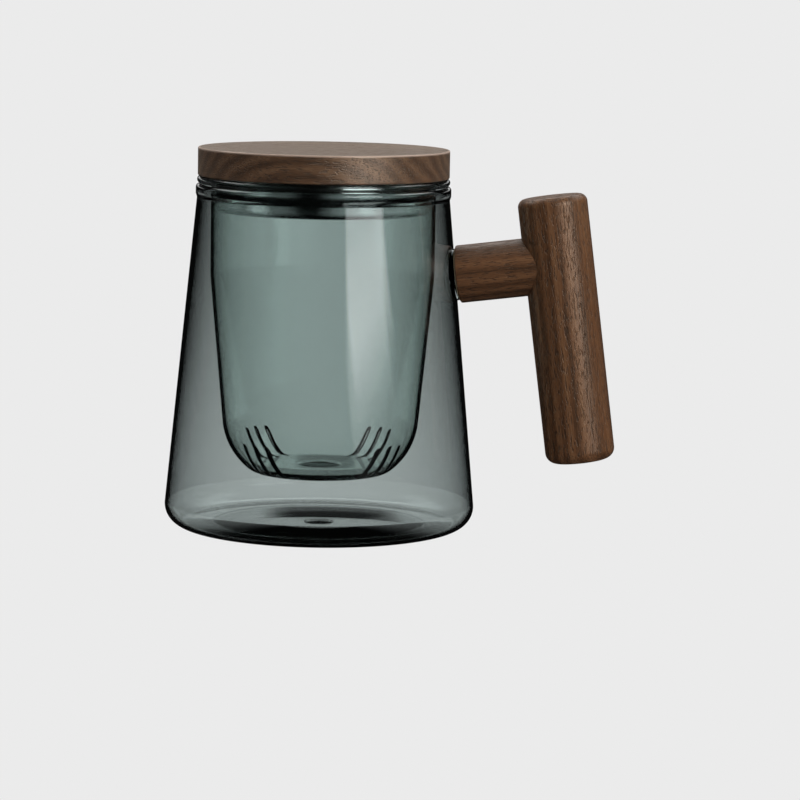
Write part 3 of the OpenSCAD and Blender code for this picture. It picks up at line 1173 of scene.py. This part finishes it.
@dataclass
class Lid:
    """The wooden disc with its spigot, and the steel liner round the spigot."""
    top: float = field(default_factory=lambda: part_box("lid_disc")[1].z)
    radius: float = field(default_factory=lambda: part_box("lid_disc")[1].x)
    liner_bottom: float = field(default_factory=lambda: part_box("lid_liner")[0].z)
    liner_rim: float = field(default_factory=lambda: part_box("lid_liner")[1].z)
    liner_radius: float = field(default_factory=lambda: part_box("lid_liner")[1].x)
    thickness: float = 0.0089
    blend: float = 0.0004
    sheet: float = 0.0005
    corner: float = 0.0026
    seat: float = 0.0001

    def disc(self) -> bpy.types.Object:
        """Turns the disc.

        Returns:
            The disc, with the spigot and the groove for the liner's rim.
        """
        under = self.top - self.thickness
        spigot = self.liner_radius - self.sheet - self.seat
        foot = self.liner_bottom + self.sheet + self.seat
        corner = self.corner - self.sheet
        groove = self.liner_rim + self.seat
        path = Outline(0, foot).line(spigot - corner, foot)
        path.arc((spigot - corner, foot + corner), corner, -90, 0)
        path.line(spigot, groove).line(self.liner_radius + self.seat, groove)
        path.line(self.liner_radius + self.seat, under).line(self.radius - self.blend, under)
        path.arc((self.radius - self.blend, under + self.blend), self.blend, -90, 0, steps=8)
        path.line(self.radius, self.top - self.blend)
        path.arc((self.radius - self.blend, self.top - self.blend), self.blend, 0, 90, steps=8)
        disc = lathe("lid_wood", path.line(0, self.top))
        disc.data.set_sharp_from_angle(angle=TURNED_CREASE)
        return disc

    def liner(self) -> bpy.types.Object:
        """Turns the liner.

        Returns:
            A pan of thin sheet, open upwards.
        """
        inner = self.liner_radius - self.sheet
        corner = self.corner - self.sheet
        flat = self.liner_radius - self.corner
        bend = self.liner_bottom + self.corner
        path = Outline(0, self.liner_bottom).line(flat, self.liner_bottom)
        path.arc((flat, bend), self.corner, -90, 0)
        path.line(self.liner_radius, self.liner_rim).line(inner, self.liner_rim)
        path.line(inner, bend).arc((inner - corner, bend), corner, 0, -90)
        pan = lathe("liner_pan", path.line(0, self.liner_bottom + self.sheet))
        pan.data.set_sharp_from_angle(angle=TURNED_CREASE)
        return pan

    def build(self) -> None:
        """Builds and dresses the lid."""
        # The disc's top edge gets a painted highlight.
        across = Walnut("walnut_disc_grain", (0.0, math.pi / 2, 0.0), (0.16, 0.02),
                        dark=(0.022, 0.010, 0.005), mid=(0.080, 0.038, 0.018),
                        light=(0.14, 0.075, 0.038), bands=0.35, pore=0.004, sheen=1.0,
                        roughness=0.36, relief=0.00008, edge=PaintedEdgeHighlight(self.radius, self.top))
        dress(self.disc(), across.material(), "lid", "lid_disc")
        dress(self.liner(), DrawnSteel("drawn_steel").material(), "lid", "lid_liner")


# ----------------------------------------------------------------------------------- studio


def heading(azimuth: float, elevation: float = 0.0) -> Vector:
    """Unit direction at radians round from -Y towards +X and radians above the table."""
    return Vector((math.sin(azimuth) * math.cos(elevation),
                   -math.cos(azimuth) * math.cos(elevation), math.sin(elevation)))


@dataclass(frozen=True)
class Softbox:
    """A soft rectangular light that only surfaces see, aimed at the mug.

    Attributes:
        name: the light's name.
        azimuth: degrees round from -Y towards +X.
        elevation: degrees above the table.
        width: width of its face.
        height: height of its face.
        radiance: brightness of its face, where the paper white of the floor is under 1.
        sheen: whether satin surfaces gleam in it.
        distance: how far it stands from the mug.
    """
    name: str
    azimuth: float
    elevation: float
    width: float
    height: float
    radiance: float
    sheen: bool = False
    distance: float = 1.5

    def place(self, target: Vector) -> None:
        """Puts the light in the scene.

        Args:
            target: what it is aimed at.
        """
        light = bpy.data.lights.new(self.name, "AREA")
        light.shape = "RECTANGLE"
        light.size = self.width
        light.size_y = self.height
        light.energy = self.radiance * self.width * self.height * math.pi
        light.cycles.use_multiple_importance_sampling = False
        thing = bpy.data.objects.new(self.name, light)
        bpy.context.scene.collection.objects.link(thing)
        away = heading(math.radians(self.azimuth), math.radians(self.elevation))
        thing.location = target + away * self.distance
        thing.rotation_euler = away.to_track_quat("Z", "Y").to_euler()
        thing.visible_camera = False
        thing.visible_glossy = self.sheen
        thing.visible_transmission = False


@dataclass(frozen=True)
class Sector:
    """A bright sector of what is round the mug.

    Attributes:
        azimuth: degrees of its middle, round from -Y towards +X.
        half_width: degrees from its middle to its sides.
        soft: degrees over which its sides fade.
        radiance: its brightness; a negative one is a dark flag before another sector.
    """
    azimuth: float
    half_width: float
    soft: float
    radiance: float

    def glow(self, x: Term, y: Term) -> Term:
        """Brightness of the sector in a direction.

        Args:
            x: part of the direction along +X.
            y: part of it along +Y.

        Returns:
            The radiance between the sides and 0 elsewhere, as a ramp of the cosine of the
            angle from the sector's middle.
        """
        middle = heading(math.radians(self.azimuth))
        cosine = (x * middle.x + y * middle.y) / distance(x, y)
        outer = math.cos(math.radians(self.half_width + self.soft))
        inner = math.cos(math.radians(self.half_width - self.soft))
        return cosine.ramp(outer, inner) * self.radiance


@dataclass(frozen=True)
class Panel(Sector):
    """A soft panel that glass, steel and polish mirror.

    Attributes:
        low: slope at which its lower edge is seen from the mug.
        high: slope at which its upper edge is seen.
        soft_low: how much slope its lower edge fades over.
        soft_high: how much slope its upper edge fades over.
        lean: radians that it turns from the horizon up to the slope of lean_top.
        deep: whether rays from deep in the glass see it.
        lean_top: slope above which it turns no further.
    """
    low: float
    high: float
    soft_low: float = 0.01
    soft_high: float = 0.1
    lean: float = 0.0
    deep: bool = True
    lean_top: ClassVar[float] = 0.1

    def seen(self, x: Term, y: Term, slope: Term, deep: Term) -> Term:
        """Brightness of the panel in a direction.

        Args:
            x: part of the direction along +X.
            y: part of it along +Y.
            slope: its rise over its run.
            deep: 1 for rays from deep in the glass.

        Returns:
            The sector's glow between the panel's lower and upper edges.
        """
        if self.lean:
            lean = slope.ramp(0.0, self.lean_top) * self.lean
            x, y = x - y * lean, y + x * lean
        upright = slope.ramp(self.low, self.low + self.soft_low)
        upright = upright * slope.ramp(self.high + self.soft_high, self.high)
        seen = self.glow(x, y) * upright
        return seen if self.deep else seen * (1 - deep)


@dataclass(frozen=True)
class Shade:
    """The shade on the table under the mug: its foot's, a sector in front, and an oval core.

    Attributes:
        foot: radius of the foot.
        foot_fade: how far the foot's shade fades inwards.
        foot_light: share of light that is left under it.
        front: azimuth of the sector's middle, in radians from -Y towards +X.
        front_near: radii between which the sector sets in.
        front_far: radii between which it ends.
        front_side: cosine of the angle from its middle up to which it is whole.
        core_at: the core's middle, ahead along the sector's middle and beside it.
        core_size: half the core's length ahead and half its width.
        core_rim: ellipse scales, squared, between which the core sets in.
        core_dark: share of light that the core takes.
    """
    foot: float = 0.0339
    foot_fade: float = 0.001
    foot_light: float = 0.45
    front: float = math.radians(9.0)
    front_near: Span = (0.0115, 0.0140)
    front_far: Span = (0.060, 0.056)
    front_side: float = 0.75
    core_at: Span = (-0.0158, 0.0025)
    core_size: Span = (0.0095, 0.0190)
    core_rim: Span = (1.3, 0.4)
    core_dark: float = 0.8

    def light(self, x: Term, y: Term) -> Term:
        """Share of light that is left at a place on the table.

        Args:
            x: the place's X.
            y: the place's Y.

        Returns:
            What the foot leaves, times what the sector leaves, times what the core leaves.
        """
        away = distance(x, y)
        middle = heading(self.front)
        ahead = x * middle.x + y * middle.y
        beside = y * middle.x - x * middle.y
        foot = mix(away.ramp(self.foot - self.foot_fade, self.foot), self.foot_light, 1.0)
        sector = away.ramp(*self.front_near) * away.ramp(*self.front_far)
        sector = sector * (ahead / away).ramp(0.0, self.front_side)
        length = (ahead - self.core_at[0]) / self.core_size[0]
        width = (beside - self.core_at[1]) / self.core_size[1]
        core = (length * length + width * width).ramp(*self.core_rim) * self.core_dark
        return foot * (1 - sector) * (1 - core)


@dataclass(frozen=True)
class Viewpoint:
    """The camera: where it stands, and its turns from looking level at the mug's axis."""
    distance: float = 1.04325
    height: float = 0.18044
    azimuth: float = math.radians(9.0)
    yaw: float = 0.0244
    pitch: float = -0.1330
    roll: float = 0.0178
    lens_mm: float = 147.66

    def place(self) -> None:
        """Makes the camera and sets it as the scene's."""
        ahead = -heading(self.azimuth - self.yaw, -self.pitch)
        level = ahead.cross(Vector((0, 0, 1))).normalized()
        upright = level.cross(ahead)
        right = level * math.cos(self.roll) + upright * math.sin(self.roll)
        up = upright * math.cos(self.roll) - level * math.sin(self.roll)
        data = bpy.data.cameras.new("camera")
        data.lens = self.lens_mm
        data.clip_start = 0.05
        data.clip_end = 100.0
        camera = bpy.data.objects.new("camera", data)
        bpy.context.scene.collection.objects.link(camera)
        stand = heading(self.azimuth) * self.distance + Vector((0, 0, self.height))
        turn = Matrix((right, up, -ahead)).transposed()
        camera.matrix_world = Matrix.Translation(stand) @ turn.to_4x4()
        bpy.context.scene.camera = camera


class Backdrop(Enum):
    """What rays end on, and the coordinates that tell where: their direction or the place."""
    SURROUND = "Generated"
    TABLE = "Object"


@dataclass
class Studio:
    """Pale floor and surround, which glass and polish mirror as a dark studio with panels.

    Attributes:
        paper: brightness of floor and surround to rays that no surface mirrors.
        dark: brightness of the studio between the panels, to mirrored rays.
        fill: brightness that falls on matt surfaces from all round.
        reach: radius of the floor.
        clear: radii between which the table's images set in.
        target: what the lights are aimed at.
        shade: the shade under the mug, which is seen through its glass.
        lights: the lights.
        panels: the panels that stand round the mug.
        images: images of panels in the table, which only rays deep in the glass see.
    """
    paper: float = 0.831
    dark: float = 0.004
    fill: float = 0.38
    reach: float = 4.0
    clear: Span = (0.05, 0.07)
    target: Vector = field(default_factory=lambda: Vector((0, 0, 0.06)))
    shade: Shade = Shade()
    lights: tuple[Softbox, ...] = (
        Softbox("key", 50.0, 21.0, 0.95, 1.05, 5.2, True),
        Softbox("side", -65.0, 24.0, 0.5, 1.1, 0.3),
        Softbox("back_left", 205.0, 30.0, 0.8, 0.9, 3.0),
        Softbox("back_right", 130.0, 25.0, 0.6, 0.9, 0.3),
        Softbox("overhead", 0.0, 86.0, 1.0, 1.0, 1.3, True),
    )
    panels: tuple[Panel, ...] = (
        Panel(62.2, 17.1, 2.0, 2.7, 0.035, 0.80, soft_low=0.05, lean=0.28, deep=False),
        Panel(62.2, 17.1, 2.0, 1.7, 0.045, 0.088, 0.03, 0.02, lean=0.28, deep=False),
        Panel(189.0, 95.0, 8.0, 3.0, 0.50, 1.20, soft_low=0.3),
        Panel(189.0, 40.0, 8.0, 0.83, 0.08, 0.1755, 0.004, 0.0006),
        Panel(188.6, 1.5, 0.5, -0.83, 0.10, 0.1700, 0.02, 0.0008),
    )
    images: tuple[Sector, ...] = (
        Sector(-62.0, 8.0, 8.0, 1.5),
        Sector(-55.0, 24.0, 20.0, 0.5),
        Sector(80.0, 50.0, 30.0, 1.4),
        Sector(54.0, 6.0, 5.0, 1.0),
        Sector(170.0, 40.0, 20.0, 0.4),
        Sector(189.0, 95.0, 8.0, 0.35),
        Sector(-112.0, 22.0, 14.0, 1.0),
    )

    def _seen(self, graph: Graph, backdrop: Backdrop) -> Term:
        """Brightness of a backdrop by how a ray got there: straight, mirrored or scattered.

        Args:
            graph: the backdrop's graph.
            backdrop: which backdrop it is.

        Returns:
            The fill for scattered rays, the dark with its panels or images for mirrored
            ones, and the paper for the rest.
        """
        deep = graph.rays(Bounce.THROUGH, DEEP_IN_GLASS)
        x, y, z = graph.axes(graph.node("ShaderNodeTexCoord").outputs[backdrop.value])
        away = distance(x, y)
        if backdrop is Backdrop.TABLE:
            images = sum(image.glow(x, y) for image in self.images)
            glow = images * away.ramp(*self.clear) * deep
        else:
            slope = z / away
            glow = sum(panel.seen(x, y, slope, deep) for panel in self.panels)
        unscattered = mix(graph.rays(Bounce.MIRRORED), self.paper, glow + self.dark)
        return mix(graph.rays(Bounce.SCATTERED), unscattered, self.fill)

    def build_world(self) -> None:
        """Builds the surround."""
        world = bpy.data.worlds.new("studio")
        bpy.context.scene.world = world
        world.use_nodes = True
        graph = Graph(world.node_tree)
        sky = graph.node("ShaderNodeBackground", {}, {
            "Color": WHITE, "Strength": self._seen(graph, Backdrop.SURROUND)})
        graph.node("ShaderNodeOutputWorld", {}, {"Surface": sky.outputs[0]})

    def _paint_table(self, graph: Graph) -> None:
        """Adds the table top's glow, with the shade that is seen through glass.

        Args:
            graph: the material's empty graph.
        """
        x, y, _ = graph.axes(graph.place())
        shade = mix(graph.rays(Bounce.THROUGH), 1.0, self.shade.light(x, y))
        graph.output(graph.node("ShaderNodeEmission", {}, {
            "Color": WHITE, "Strength": self._seen(graph, Backdrop.TABLE) * shade}))

    def build_floor(self, corners: int = 128, drop: float = 0.0001) -> None:
        """Builds the table top, a wide disc.

        Args:
            corners: how many corners its rim has.
            drop: how far it lies under the mug's foot.
        """
        angles = np.linspace(0, math.tau, corners, endpoint=False)
        rim = np.column_stack((self.reach * np.cos(angles), self.reach * np.sin(angles),
                               np.full(corners, -drop)))
        floor = make_object("table_top", rim, [list(range(corners))])
        floor.data.materials.append(new_material("table_top", self._paint_table))

    def build(self) -> None:
        """Builds the floor, the surround and the lights, and sets how light is traced."""
        self.build_world()
        self.build_floor()
        for softbox in self.lights:
            softbox.place(self.target)
        scene = bpy.context.scene
        scene.view_settings.view_transform = "Standard"
        scene.cycles.max_bounces = 40
        scene.cycles.transmission_bounces = 32
        scene.cycles.glossy_bounces = 12
        scene.cycles.diffuse_bounces = 3
        scene.cycles.caustics_reflective = False
        scene.cycles.caustics_refractive = True


def main() -> None:
    """Builds the mug's sub-assemblies, the studio and the camera."""
    logging.basicConfig(level=logging.INFO, format="%(name)s: %(message)s")
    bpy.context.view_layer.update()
    Viewpoint().place()
    handle = Handle()
    handle.build()
    Mug(handle).build()
    Infuser().build()
    Lid().build()
    Studio().build()


if __name__ == "__main__":
    main()
